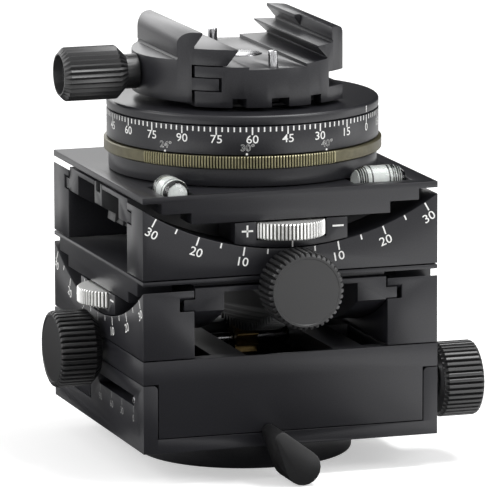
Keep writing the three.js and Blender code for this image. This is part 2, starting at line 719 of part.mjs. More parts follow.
// Arc rail with the tongue that runs in the wall's groove and a flange that reaches in to the rack
function rail(side, plateTop) {
  const reach = half - fit;
  const top = -plateTop - plateDepth - fit;
  const tongueMiddle = (grooveInner + grooveOuter) / 2;
  const tongueOuter = tongueMiddle + tongueThickness / 2;
  const tongueInner = tongueMiddle - tongueThickness / 2;
  const tongueShape = bandShape(tongueInner, tongueOuter, Math.asin(half / tongueInner) + 2 * deg);
  const railInner = railOuter - railThickness;
  const [low, high] = side < 0 ? [-railOuter, -railInner] : [railInner, railOuter];
  const [tipLow, tipHigh] = side < 0
    ? [-railOuter - tongueReach, -railOuter + overrun]
    : [railOuter - overrun, railOuter + tongueReach];
  const flangeEnd = rackHalfWidth + fit;
  const [flangeLow, flangeHigh] = side < 0 ? [high - overrun, -flangeEnd] : [flangeEnd, low + overrun];
  const wheelPlace = [0, -half - wheelProud + wheelRadius, 0];
  const wheelTop = -plateTop - wheelTopDrop;
  const wheelBottom = wheelTop - wheelThickness;
  const pocket = rod(wheelRadius + 2 * fit, 'z', wheelBottom - 2 * fit, wheelTop + 2 * fit, wheelPlace);
  const tongue = prism(tongueShape, 'y', tipLow, tipHigh, 2 * arcSteps)
    .intersect(box(-reach, reach, tipLow, tipHigh, -half - railRadius, 0));
  const solid = prism(segmentShape(railRadius, top, reach), 'y', low, high, 2 * arcSteps)
    .add(tongue)
    .add(box(-reach, reach, flangeLow, flangeHigh, top - railFlange, top));
  return side < 0 ? solid.subtract(pocket) : solid;
}

// Toothed arc rack: a web with teeth along its round edge and a slot that clears the crossing shaft
function rack(plateTop) {
  const top = -plateTop - plateDepth - fit;
  const reach = half - fit;
  const root = rackPitchRadius - gearRootDepth;
  const pitch = 2 * Math.PI / rackTeeth;
  const count = Math.floor(Math.asin(reach / rackTipRadius) / pitch - 1);
  const points = [[-reach, top]];
  points.push([-reach, -Math.sqrt(root * root - reach * reach)]);
  for (let i = -count; i < count; i += 1) {
    points.push(...toothPoints(rackPitchRadius, root, -Math.PI / 2 + (i + 0.5) * pitch));
  }
  points.push([reach, -Math.sqrt(root * root - reach * reach)], [reach, top]);
  const slotFloor = top - crossSlotDepth;
  return prism(outline(points), 'y', -rackHalfWidth, rackHalfWidth)
    .subtract(box(-half, half, -crossSlotHalf, crossSlotHalf, slotFloor, top + overrun));
}

// Thin plate across a stage on a set-back pad, with a stepped apron at its front and back
function stagePlate(plateTop, thickness) {
  const bottom = -plateTop - plateDepth;
  const padEnd = half - padInset;
  const pad = box(-padEnd, padEnd, -railOuter, railOuter, bottom, -plateTop - thickness / 2);
  const apronTop = -plateTop - thickness / 2;
  const points = [[apronHalf, apronTop], [-apronHalf, apronTop], [-apronHalf, bottom - apronDrop]];
  points.push([-apronStepHalf, bottom - apronDrop], [-apronStepHalf, bottom - apronStepDrop]);
  points.push([apronStepHalf, bottom - apronStepDrop], [apronStepHalf, bottom - apronDrop]);
  points.push([apronHalf, bottom - apronDrop]);
  const apron = outline(points);
  return box(-half, half, -half, half, -plateTop - thickness, -plateTop)
    .add(pad)
    .add(prism(apron, 'y', -half, -half + apronDepth))
    .add(prism(apron, 'y', half - apronDepth, half));
}

// Friction block under the front apron, with its wheel and axle
function buildFriction(group, prefix, plateTop) {
  const top = -plateTop - plateDepth - apronStepDrop - fit;
  const reach = arcRadius - fit;
  const spread = Math.asin(blockHalf / reach);
  const shape = new THREE.Shape();
  shape.absarc(0, 0, reach, -Math.PI / 2 - spread, -Math.PI / 2 + spread, false);
  shape.lineTo(blockHalf, top);
  shape.lineTo(-blockHalf, top);
  const wheelTop = -plateTop - wheelTopDrop;
  const wheelBottom = wheelTop - wheelThickness;
  const place = [0, -half - wheelProud + wheelRadius, 0];
  const axleTop = top - fit;
  const axleBottom = wheelBottom - 2 * fit - wheelAxleRadius;
  const block = prism(shape, 'y', -half, -half + blockDepth, arcSteps / 2)
    .subtract(rod(wheelRadius + fit, 'z', wheelBottom - fit, top + overrun, place, largeSides))
    .subtract(rod(wheelAxleRadius + fit, 'z', axleBottom - fit, top + overrun, place, smallSides));
  piece(group, `${prefix}_friction_block`, block, blackAnodised);
  const wheel = tube(wheelAxleRadius + fit, wheelRadius, 'z', wheelBottom, wheelTop, place, largeSides);
  piece(group, `${prefix}_friction_wheel`, wheel, brightSteel);
  const axle = rod(wheelAxleRadius, 'z', axleBottom, axleTop, place, smallSides);
  piece(group, `${prefix}_wheel_axle`, axle, brightSteel);
}

// Drive shaft with its pinion and ribbed knob, in the stage's frame, with the shaft's far end given
function buildDrive(group, prefix, farEnd) {
  const place = [0, 0, -shaftDrop];
  const face = -half - driveKnobFace;
  const shaftFront = face + knobFaceWall;
  const shaft = rod(shaftRadius, 'y', shaftFront, farEnd, place, smallSides);
  piece(group, `${prefix}_drive_shaft`, shaft, brightSteel);
  const root = pinionPitchRadius - gearRootDepth;
  const pitch = 2 * Math.PI / pinionTeeth;
  const points = [];
  for (let i = 0; i < pinionTeeth; i += 1) {
    points.push(...toothPoints(pinionPitchRadius, root, Math.PI / 2 + i * pitch));
  }
  const pinion = prism(outline(points), 'y', -pinionHalfWidth, pinionHalfWidth)
    .subtract(rod(shaftRadius + fit, 'y', -half, half, onAxis, smallSides))
    .translate(place);
  piece(group, `${prefix}_pinion`, pinion, brass);
  const [backChamfer, faceChamfer] = [knobBackChamfer, knobFaceChamfer];
  const knob = ribbedKnob(driveKnobRadius, 'y', -driveKnobBack, face, backChamfer, faceChamfer, knobRibs)
    .subtract(rod(shaftRadius + fit, 'y', shaftFront - fit, 0, onAxis, smallSides))
    .translate(place);
  piece(group, `${prefix}_drive_knob`, knob, blackKnob);
}

function bush(from, place) {
  return tube(shaftRadius + fit, bushRadius, 'y', from, from + bushLength, place, smallSides);
}

// Lower stage: walls on the tilt body, and a cradle whose front faces left
function buildLowerStage() {
  const group = stageGroup(lowerCentre, -Math.PI / 2);
  piece(group, 'lower_wall_left', wall(-1, lowerWallBottom), blackAnodised);
  piece(group, 'lower_wall_right', wall(1, lowerWallBottom), blackAnodised);
  const place = [0, 0, -shaftDrop];
  piece(group, 'lower_bush_outer', bush(-half + fit, place), brass);
  piece(group, 'lower_bush_inner', bush(knobWell + fit, place), brass);
  buildDrive(group, 'lower', knobWell + fit + bushLength);
  // The upper stage's shaft crosses this plate at right angles, so the plate has a slot and a pinion window
  const slotHalf = bushRadius + fit;
  const slotEnd = pinionTipRadius + fit;
  const slotBack = pinionHalfWidth + 2 * fit;
  const slotBottom = -lowerPlateTop - 2 * plateDepth;
  const crossing = box(-slotHalf, slotHalf, -half - overrun, slotBack, slotBottom, 0)
    .add(box(-slotEnd, slotEnd, -pinionHalfWidth - fit, slotBack, slotBottom, 0))
    .rotate(crossTurn);
  const crossPlace = [0, 0, upperShaftZ - lowerCentre];
  const rearBush = -pinionHalfWidth - 2 * fit - bushLength;
  const [bushRoomRadius, bushRoomEnd] = [bushRadius + fit, -half + bushLength + 2 * fit];
  const bushRoom = rod(bushRoomRadius, 'y', -half - overrun, bushRoomEnd, crossPlace, smallSides)
    .add(rod(bushRoomRadius, 'y', rearBush - fit, rearBush + bushLength + overrun, crossPlace, smallSides))
    .rotate(crossTurn);
  const pinionRoom = rod(pinionTipRadius + fit, 'y', -pinionHalfWidth - fit, slotBack, crossPlace)
    .rotate(crossTurn);
  const plate = stagePlate(lowerPlateTop, lowerPlateThickness).subtract(crossing);
  piece(group, 'lower_cradle_plate', plate, blackAnodised);
  piece(group, 'lower_rail_left', rail(-1, lowerPlateTop).subtract(pinionRoom), blackAnodised);
  piece(group, 'lower_rail_right', rail(1, lowerPlateTop).subtract(pinionRoom), blackAnodised);
  const web = rack(lowerPlateTop).subtract(bushRoom).subtract(pinionRoom);
  piece(group, 'lower_rack', web, greyAnodised);
  buildFriction(group, 'lower', lowerPlateTop);
}

// Spirit vial: a round bar with a domed end each way
function vial(axis, from, place) {
  const profile = [];
  const steps = arcSteps / 2;
  for (let i = 0; i <= steps; i += 1) {
    const angle = i * Math.PI / (2 * steps);
    profile.push([vialRadius * Math.sin(angle), from + vialDome * (1 - Math.cos(angle))]);
  }
  for (const [r, h] of [...profile].reverse()) profile.push([r, 2 * from + vialLength - h]);
  return turned(profile, axis, place);
}

// Upper stage: walls on the lower cradle, and a cradle that carries the dial
function buildUpperStage() {
  const group = stageGroup(upperCentre, 0);
  piece(group, 'upper_wall_front', wall(-1, upperWallBottom), blackAnodised);
  piece(group, 'upper_wall_back', wall(1, upperWallBottom), blackAnodised);
  const place = [0, 0, -shaftDrop];
  const rearBush = -pinionHalfWidth - 2 * fit - bushLength;
  piece(group, 'upper_bush_outer', bush(-half + fit, place), brass);
  piece(group, 'upper_bush_inner', bush(rearBush, place), brass);
  buildDrive(group, 'upper', pinionHalfWidth);
  piece(group, 'upper_rail_front', rail(-1, upperPlateTop), blackAnodised);
  piece(group, 'upper_rail_back', rail(1, upperPlateTop), blackAnodised);
  piece(group, 'upper_rack', rack(upperPlateTop), greyAnodised);
  buildFriction(group, 'upper', upperPlateTop);
  const vialZ = -upperPlateTop;
  const seatZ = vialZ - vialSeat;
  const vialTop = vialZ + vialRadius;
  const rightPlace = [0, -half + rightVialInset, vialZ];
  const leftPlace = [-half + leftVialInset, 0, vialZ];
  const leftFrom = -half + leftVialFrontInset;
  const keep = box(-half, half, -half, half, seatZ + fit, vialTop + overrun);
  const right = vial('x', rightVialFrom, rightPlace).intersect(keep);
  const left = vial('y', leftFrom, leftPlace).intersect(keep);
  const seats = box(rightVialFrom - fit, rightVialFrom + vialLength + fit,
    rightPlace[1] - vialRadius - fit, rightPlace[1] + vialRadius + fit, seatZ, vialTop)
    .add(box(leftPlace[0] - vialRadius - fit, leftPlace[0] + vialRadius + fit,
      leftFrom - fit, leftFrom + vialLength + fit, seatZ, vialTop));
  piece(group, 'top_plate', stagePlate(upperPlateTop, upperPlateThickness).subtract(seats), blackAnodised);
  piece(group, 'level_vial_right', right, clearAcrylic);
  piece(group, 'level_vial_left', left, clearAcrylic);
}

// Panning base, lock ring, graduated dial and the disc that turns on it
function buildDial() {
  const bore = rod(spindleRadius + fit, 'z', panBottom - overrun, dialTop + overrun);
  const neckTop = panBottom + panBaseHeight;
  const hubTop = panBottom + panHubHeight;
  const neck = [[0, panBottom], [panBaseRadius, panBottom], [panBaseRadius, neckTop], [panHubRadius, neckTop]];
  neck.push([panHubRadius, hubTop], [0, hubTop]);
  piece(head, 'pan_base', turned(neck, 'z', onAxis, largeSides).subtract(bore), blackAnodised);
  const ringBottom = neckTop + fit;
  const ringTop = ringBottom + lockRingHeight;
  const ring = tube(panHubRadius + fit, lockRingRadius, 'z', ringBottom, ringTop, onAxis, largeSides);
  piece(head, 'pan_lock_ring', ring, bronzeAnodised);
  const dialBase = panBottom + dialBottom - fit;
  const drum = rod(dialRadius, 'z', dialBase, dialTop, onAxis, largeSides).subtract(bore);
  piece(head, 'dial_drum', drum, blackAnodised);
  const seatTop = discTop + clampSeatHeight;
  const spindleBottom = discBottom - spindleLength;
  const disc = [[0, discBottom], [dialRadius, discBottom], [dialRadius, discTop - topDiscChamfer]];
  disc.push([dialRadius - topDiscChamfer, discTop], [0, discTop]);
  const screwHole = centreScrewShank + fit;
  const screwBottom = clampBottom - clampFloor;
  const top = turned(disc, 'z', onAxis, largeSides)
    .add(rod(spindleRadius, 'z', spindleBottom, discBottom + overrun))
    .add(rod(clampSeatRadius, 'z', discTop - overrun, seatTop))
    .subtract(rod(screwHole, 'z', screwBottom - fit, seatTop + overrun));
  piece(head, 'turning_disc', top, blackAnodised);
}

// Fixed body of the clamp: a drum with two dovetail grooves in its fixed jaw and fingers on its left
function clampBody() {
  const z = (height) => clampBottom + height;
  const slope = midTipHeight - grooveLowHeight;
  const points = [[-fingerX, z(0)], [clampFlat, z(0)], [clampFlat, z(footHeight)], [undercutX, z(footHeight)]];
  points.push([undercutX, z(undercutHeight)], [clampFlat, z(undercutHeight)]);
  points.push([clampFlat, z(fixedJawHeight - fixedJawRound)]);
  const shape = outline(points);
  const roundX = clampFlat - fixedJawRound;
  shape.absarc(roundX, z(fixedJawHeight - fixedJawRound), fixedJawRound, 0, Math.PI / 2, false);
  const rest = [[topLipX, z(fixedJawHeight)], [topLipX, z(topLipHeight)], [grooveHighX, z(grooveHighHeight)]];
  const midTop = midTipHeight + midTipThickness;
  rest.push([grooveHighX, z(midTop + fit)], [midTipX, z(midTop)]);
  rest.push([midTipX, z(midTipHeight)], [midTipX + slope, z(grooveLowHeight)]);
  rest.push([grooveLowX, z(grooveLowHeight - fit)]);
  rest.push([baseLipX, z(baseLipTop)], [baseLipX, z(clampFloor)], [-shoulderLeft, z(clampFloor)]);
  rest.push([-shoulderLeft, z(clampShoulder)], [-fingerX, z(clampShoulder)], [-fingerX, z(fingerSlotHigh)]);
  rest.push([-fingerSlotX, z(fingerSlotHigh)], [-fingerSlotX, z(fingerSlotLow)], [-fingerX, z(fingerSlotLow)]);
  for (const [a, b] of rest) shape.lineTo(a, b);
  const whole = prism(shape, 'y', -clampRadius, clampRadius, arcSteps / 2);
  const drum = rod(clampRadius, 'z', clampBottom - overrun, z(fixedJawHeight) + overrun, onAxis, largeSides);
  const shortLip = box(topLipX - overrun, topLipShortX, -clampRadius, topLipShortTo,
    z(grooveHighHeight + fit), z(fixedJawHeight) + overrun);
  let body = whole.intersect(drum).subtract(shortLip);
  notchMiddles.forEach((middle, i) => {
    const side = notchWidths[i] / 2;
    body = body.subtract(box(middle - side, middle + side, -clampRadius - overrun, -clampRadius + notchDepth,
      clampBottom - overrun, z(notchHeight)));
  });
  const headBottom = clampFloor + centreScrewRise - centreScrewHead;
  const screwPlace = [0, 0, z(clampScrewHeight)];
  body = body
    .subtract(rod(centreScrewRadius + fit, 'z', z(headBottom) - fit, z(clampFloor) + overrun))
    .subtract(rod(centreScrewShank + fit, 'z', clampBottom - overrun, z(clampFloor) + overrun))
    .subtract(rod(clampScrewRadius + fit, 'x', -clampRadius, -clampScrewEnd + fit, screwPlace, smallSides));
  for (const [y, drop] of [[-stopPegReach, 0], [stopPegReach, stopPegBackDrop]]) {
    const low = z(clampFloor) + stopPegRise - drop - stopPegLength - stopPegTravel - fit;
    body = body.subtract(rod(stopPegRadius + fit, 'z', low, z(clampFloor) + overrun, [0, y, 0], smallSides));
  }
  return body;
}

// Moving jaw: a hooked profile whose tongue slides between the fingers of the clamp body
function clampJaw() {
  const z = (height) => clampBottom + height;
  const jawX = fingerX + jawGap;
  const tongueX = fingerSlotX + jawGap;
  const [tongueTop, tongueBottom] = [z(fingerSlotHigh - fit), z(fingerSlotLow + fit)];
  const shape = outline([[-jawX, z(jawOverlap)], [-jawX, tongueTop], [-tongueX, tongueTop]]);
  const lower = [[-tongueX, tongueBottom], [-jawX, tongueBottom], [-jawX, z(jawBottom)]];
  lower.push([-clampRadius, z(jawBottom)], [-clampRadius, z(jawBaseTop)], [-jawBackX, z(jawBaseTop + fit)]);
  lower.push([-jawBackX + fit, z(jawFootHeight - fit)], [-jawBackX, z(jawFootHeight)]);
  lower.push([-jawBackX, z(jawHeight - jawRound)]);
  for (const [a, b] of lower) shape.lineTo(a, b);
  shape.absarc(-jawBackX + jawRound, z(jawHeight - jawRound), jawRound, Math.PI, Math.PI / 2, true);
  const upper = [[-jawTipX, z(jawHeight)], [-jawTipX, z(jawHeight - jawTipThickness)]];
  upper.push([-jawGrooveX, z(jawShelfHeight + jawTipThickness)], [-jawGrooveX, z(jawShelfHeight)]);
  upper.push([-jawLipX, z(jawShelfHeight)], [-jawLipX, z(jawShelfHeight - fit)]);
  upper.push([-jawLipUnderX, z(jawOverlap)]);
  for (const [a, b] of upper) shape.lineTo(a, b);
  const drum = rod(clampRadius, 'z', clampBottom, z(jawHeight) + overrun, onAxis, largeSides);
  const screwPlace = [0, 0, z(clampScrewHeight)];
  return prism(shape, 'y', -clampRadius, clampRadius, arcSteps / 2)
    .intersect(drum)
    .subtract(rod(clampScrewRadius + fit, 'x', -clampRadius - overrun, 0, screwPlace, smallSides));
}

function buildClamp() {
  const z = (height) => clampBottom + height;
  piece(head, 'clamp_body', clampBody(), blackAnodised);
  piece(head, 'clamp_jaw', clampJaw(), blackAnodised);
  const headTop = clampFloor + centreScrewRise;
  const screw = rod(centreScrewRadius, 'z', z(headTop - centreScrewHead), z(headTop))
    .add(rod(centreScrewShank, 'z', clampBottom - clampFloor, z(headTop - centreScrewHead) + overrun));
  piece(head, 'clamp_centre_screw', screw, brightSteel);
  const place = [0, 0, z(clampScrewHeight)];
  const face = -clampKnobBack - clampKnobLength;
  const dishFloor = face + clampKnobDishDepth;
  const screwFront = dishFloor + clampInsertThickness + 2 * fit;
  const spindle = rod(clampScrewRadius, 'x', screwFront, -clampScrewEnd, place, smallSides);
  piece(head, 'clamp_screw', spindle, brightSteel);
  const [backChamfer, faceChamfer] = [clampKnobBackChamfer, clampKnobFaceChamfer];
  const knob = ribbedKnob(clampKnobRadius, 'x', -clampKnobBack, face, backChamfer, faceChamfer, clampKnobRibs)
    .add(rod(clampNeckRadius, 'x', -clampKnobBack - overrun, -clampRadius - fit))
    .subtract(rod(clampKnobDish, 'x', face - overrun, dishFloor + clampInsertThickness + fit))
    .subtract(rod(clampScrewRadius + fit, 'x', screwFront - fit, 0, onAxis, smallSides))
    .translate(place);
  piece(head, 'clamp_knob', knob, blackKnob);
  const insert = rod(clampInsertRadius, 'x', dishFloor, dishFloor + clampInsertThickness, place);
  piece(head, 'clamp_knob_insert', insert, brightSteel);
  const pegTop = z(clampFloor) + stopPegRise;
  const peg = (y, drop) => rod(stopPegRadius, 'z', pegTop - stopPegLength, pegTop, [0, y, -drop], smallSides);
  piece(head, 'stop_peg_front', peg(-stopPegReach, 0), brightSteel);
  piece(head, 'stop_peg_back', peg(stopPegReach, stopPegBackDrop), brightSteel);
}

buildBase();
buildTray();
buildLever();
buildTieRod();
buildStays();
buildTiltBody();
buildLowerStage();
buildUpperStage();
buildDial();
buildClamp();

export default head;
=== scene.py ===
import json
import math

import bmesh
import bpy
from mathutils import Matrix, Vector


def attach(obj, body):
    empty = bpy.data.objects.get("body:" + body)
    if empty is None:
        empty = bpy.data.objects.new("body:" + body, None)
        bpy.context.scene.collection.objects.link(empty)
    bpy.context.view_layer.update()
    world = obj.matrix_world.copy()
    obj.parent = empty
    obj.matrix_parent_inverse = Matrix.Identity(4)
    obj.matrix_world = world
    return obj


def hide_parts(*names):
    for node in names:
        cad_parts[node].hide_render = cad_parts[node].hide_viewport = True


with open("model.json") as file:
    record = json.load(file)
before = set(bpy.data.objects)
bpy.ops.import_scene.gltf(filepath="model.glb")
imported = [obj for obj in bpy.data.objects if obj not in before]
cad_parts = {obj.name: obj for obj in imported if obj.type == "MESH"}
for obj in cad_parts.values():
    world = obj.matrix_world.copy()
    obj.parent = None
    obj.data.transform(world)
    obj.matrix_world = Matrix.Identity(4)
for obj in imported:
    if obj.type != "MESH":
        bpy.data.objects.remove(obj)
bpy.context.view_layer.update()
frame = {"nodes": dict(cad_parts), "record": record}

# The looks of a geared tripod head. Lengths in the tables are millimetres from the drawing of the part;
# MM turns them into metres.
MM = 0.001

# Camera, solved from the photograph
CAMERA_AT = (-500.25, -1520.44, 352.07)
CAMERA_YAW = 18.283
CAMERA_PITCH = -10.501
CAMERA_ROLL = -0.144
LENS_MM = 423.7
SENSOR_MM = 36.0
CLIP_END = 20

# Sizes taken from the drawing of the part
HALF = 42.0
LOWER_CENTRE = 117.05
UPPER_CENTRE = 139.6
ARC_RADIUS = 76.3
DIAL_RADIUS = 37.5
DIAL_TOP = 96.04
DISC_TOP = 98.94
RING_RADIUS = 38.3
RING_BORE = 34.0
RING_Z = (84.64, 87.93)
WHEEL_RADIUS = 11.0
WHEEL_BORE = 1.8
WHEEL_REACH = 36.5
UPPER_WHEEL_Z = (66.3, 70.7)
LOWER_WHEEL_Z = (43.36, 47.76)
SHAFT_BORE = 2.3
DRIVE_KNOB_RADIUS = 10.6
DRIVE_KNOB_ENDS = (-43.2, -55.4)
DRIVE_KNOB_CHAMFERS = (2.3, 1.0)
UPPER_DRIVE_Z = 53.6
LOWER_DRIVE_Z = 31.05
TILT_KNOB_RADIUS = 10.35
TILT_KNOB_ENDS = (44.3, 55.8)
TILT_KNOB_CHAMFERS = (1.0, 1.0)
TILT_KNOB_AT = (-32.6, 22.3)
KNOB_RIBS = 40
VIAL_Z = 79.24
RIGHT_VIAL_Y = -33.6
RIGHT_VIAL_START = 19.85
LEFT_VIAL_X = -31.2
LEFT_VIAL_START = -40.7

# Enamel stands this far off the face it is on
PAINT = 0.02


# Colour and material helpers

def srgb(code, alpha=1.0):
    """A hex colour as the linear values that shaders take."""
    channels = [int(code[i:i + 2], 16) / 255 for i in (1, 3, 5)]
    linear = [c / 12.92 if c <= 0.04045 else ((c + 0.055) / 1.055) ** 2.4 for c in channels]
    return (*linear, alpha)


def add_node(tree, kind, settings=None, values=None, links=None):
    """Adds one node with its settings, its socket values and the links into its sockets."""
    node = tree.nodes.new(kind)
    for name, value in (settings or {}).items():
        setattr(node, name, value)
    for name, value in (values or {}).items():
        node.inputs[name].default_value = value
    for name, source in (links or {}).items():
        tree.links.new(source, node.inputs[name])
    return node


def new_material(name):
    material = bpy.data.materials.new(name)
    material.use_nodes = True
    material.node_tree.nodes.clear()
    return material, material.node_tree


def grain(tree, size_mm, height_mm, stretch=(1.0, 1.0, 1.0), detail=3.0):
    """Bump from noise whose grains are size_mm across, longer along an axis where stretch is below 1."""
    place = add_node(tree, "ShaderNodeTexCoord")
    scaled = add_node(tree, "ShaderNodeMapping", values={"Scale": stretch},
                      links={"Vector": place.outputs["Object"]})
    noise = add_node(tree, "ShaderNodeTexNoise", values={"Scale": 1 / (size_mm * MM), "Detail": detail},
                     links={"Vector": scaled.outputs["Vector"]})
    bump = add_node(tree, "ShaderNodeBump", values={"Strength": 0.6, "Distance": height_mm * MM},
                    links={"Height": noise.outputs["Fac"]})
    return noise, bump


def tinted(tree, factor, low, high, dark, light):
    """Spreads a noise between two colours."""
    spread = add_node(tree, "ShaderNodeMapRange", values={"From Min": low, "From Max": high},
                      links={"Value": factor})
    mix = add_node(tree, "ShaderNodeMix", {"data_type": "RGBA"}, links={"Factor": spread.outputs["Result"]})
    mix.inputs["A"].default_value = srgb(dark)
    mix.inputs["B"].default_value = srgb(light)
    return mix.outputs["Result"]


def finish_surface(tree, shader):
    add_node(tree, "ShaderNodeOutputMaterial", links={"Surface": shader.outputs["BSDF"]})


def black_anodised_aluminium(name="black_anodised_aluminium", dark="#1d1d20", light="#26262a",
                             roughness=0.33, gloss=0.33):
    """Bead-blasted aluminium with a dyed oxide layer: near black, satin, with a soft sheen at grazing angles.
    The blasting leaves 0.1 mm pits; they are drawn 0.35 mm across so that they show."""
    material, tree = new_material(name)
    pits, bump = grain(tree, 0.35, 0.004)
    colour = tinted(tree, pits.outputs["Fac"], 0.3, 0.7, dark, light)
    shader = add_node(tree, "ShaderNodeBsdfPrincipled",
                      values={"Roughness": roughness, "Specular IOR Level": gloss},
                      links={"Base Color": colour, "Normal": bump.outputs["Normal"]})
    finish_surface(tree, shader)
    return material


def turned_metal(name, dark, light, roughness):
    """Bare metal off the lathe: fine tool lines, a quarter of a millimetre apart, little colour of its own."""
    material, tree = new_material(name)
    lines, bump = grain(tree, 0.25, 0.003, stretch=(1.0, 1.0, 0.2))
    colour = tinted(tree, lines.outputs["Fac"], 0.35, 0.65, dark, light)
    shader = add_node(tree, "ShaderNodeBsdfPrincipled", values={"Metallic": 1.0, "Roughness": roughness},
                      links={"Base Color": colour, "Normal": bump.outputs["Normal"]})
    finish_surface(tree, shader)
    return material


def bronze_anodised_aluminium(name="bronze_anodised_aluminium", dark="#4e4a38", light="#5b5743"):
    """Olive-bronze dyed oxide over aluminium: a dull metal sheen, a little paler where fingers rub it."""
    material, tree = new_material(name)
    patches, bump = grain(tree, 1.8, 0.003)
    colour = tinted(tree, patches.outputs["Fac"], 0.3, 0.7, dark, light)
    shader = add_node(tree, "ShaderNodeBsdfPrincipled", values={"Metallic": 0.55, "Roughness": 0.42},
                      links={"Base Color": colour, "Normal": bump.outputs["Normal"]})
    finish_surface(tree, shader)
    return material


def white_enamel(name="white_engraving_enamel", dark="#dededc", light="#f0f0ee"):
    """Enamel wiped into engraved marks: flat, a little uneven."""
    material, tree = new_material(name)
    noise, _ = grain(tree, 0.6, 0.002)
    colour = tinted(tree, noise.outputs["Fac"], 0.3, 0.7, dark, light)
    shader = add_node(tree, "ShaderNodeBsdfPrincipled", values={"Roughness": 0.5},
                      links={"Base Color": colour})
    finish_surface(tree, shader)
    return material


def clear_acrylic():
    """Clear moulded acrylic of the level vials: smooth, and bends what lies behind it."""
    material, tree = new_material("clear_acrylic")
    shader = add_node(tree, "ShaderNodeBsdfPrincipled",
                      values={"Base Color": srgb("#f8fbfa"), "Roughness": 0.04, "IOR": 1.49,
                              "Transmission Weight": 1.0})
    finish_surface(tree, shader)
    return material


def studio_white():
    """Matt white backdrop paper. Seen by the camera it is lifted to white, but keeps the object's shadow."""
    material, tree = new_material("studio_white")
    path = add_node(tree, "ShaderNodeLightPath")
    paper = add_node(tree, "ShaderNodeBsdfDiffuse", values={"Color": srgb("#f2f2f2")})
    glow = add_node(tree, "ShaderNodeEmission", values={"Color": srgb("#ffffff"), "Strength": 0.45})
    lifted = add_node(tree, "ShaderNodeAddShader")
    tree.links.new(paper.outputs["BSDF"], lifted.inputs[0])
    tree.links.new(glow.outputs["Emission"], lifted.inputs[1])
    mix = add_node(tree, "ShaderNodeMixShader", links={"Fac": path.outputs["Is Camera Ray"]})
    tree.links.new(paper.outputs["BSDF"], mix.inputs[1])
    tree.links.new(lifted.outputs["Shader"], mix.inputs[2])
    add_node(tree, "ShaderNodeOutputMaterial", links={"Surface": mix.outputs["Shader"]})
    return material


def black_flock():
    """Black flocked card that stands beside the object, to darken what its satin faces mirror."""
    material, tree = new_material("black_flock")
    fibres, bump = grain(tree, 0.8, 0.05)
    colour = tinted(tree, fibres.outputs["Fac"], 0.3, 0.7, "#0a0a0a", "#101010")
    shader = add_node(tree, "ShaderNodeBsdfPrincipled", values={"Roughness": 0.9, "Specular IOR Level": 0.1},
                      links={"Base Color": colour, "Normal": bump.outputs["Normal"]})
    finish_surface(tree, shader)
    return material


def light_panel(name, strength):
    """Evenly lit diffusing fabric that shows only in gloss."""
    material, tree = new_material(name)
    weave, _ = grain(tree, 6.0, 0.05)
    colour = tinted(tree, weave.outputs["Fac"], 0.3, 0.7, "#f2f2f2", "#ffffff")
    glow = add_node(tree, "ShaderNodeEmission", values={"Strength": strength}, links={"Color": colour})
    add_node(tree, "ShaderNodeOutputMaterial", links={"Surface": glow.outputs["Emission"]})
    return material


# Mesh helpers

# Points nearer than this are one point
MERGE_MM = 0.001


def add_piece(name, points, faces, material, body, closed=True):
    """One mesh piece in millimetres, riding on a body. A closed piece gets its faces turned outwards."""
    mesh = bpy.data.meshes.new(name)
    mesh.from_pydata([[c * MM for c in p] for p in points], [], faces)
    if closed:
        shell = bmesh.new()
        shell.from_mesh(mesh)
        bmesh.ops.remove_doubles(shell, verts=shell.verts, dist=MERGE_MM * MM)
        bmesh.ops.recalc_face_normals(shell, faces=shell.faces)
        shell.to_mesh(mesh)
        shell.free()
    mesh.update()
    mesh.polygons.foreach_set("use_smooth", [False] * len(mesh.polygons))
    piece = bpy.data.objects.new(name, mesh)
    bpy.context.scene.collection.objects.link(piece)
    mesh.materials.append(material)
    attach(piece, body)
    return piece


# The figures are a wide engraver's face
WIDEN = 1.17
TALLER = 1.05
EMBOLDEN = 0.006


def text_outline(words, size, outlined=0.0):
    """Points and faces of flat lettering, centred on its own middle, in millimetres."""
    curve = bpy.data.curves.new("lettering", "FONT")
    curve.body = words
    curve.size = size
    curve.resolution_u = 3
    curve.offset = EMBOLDEN * size
    if outlined:
        curve.fill_mode = "NONE"
        curve.bevel_depth = outlined
        curve.bevel_resolution = 0
    holder = bpy.data.objects.new("lettering", curve)
    bpy.context.scene.collection.objects.link(holder)
    mesh = holder.evaluated_get(bpy.context.evaluated_depsgraph_get()).to_mesh()
    points = [(v.co.x * WIDEN, v.co.y * TALLER) for v in mesh.vertices]
    faces = [tuple(p.vertices) for p in mesh.polygons]
    bpy.data.objects.remove(holder)
    bpy.data.curves.remove(curve)
    middle = [(min(p[i] for p in points) + max(p[i] for p in points)) / 2 for i in (0, 1)]
    return [(x - middle[0], y - middle[1]) for x, y in points], faces


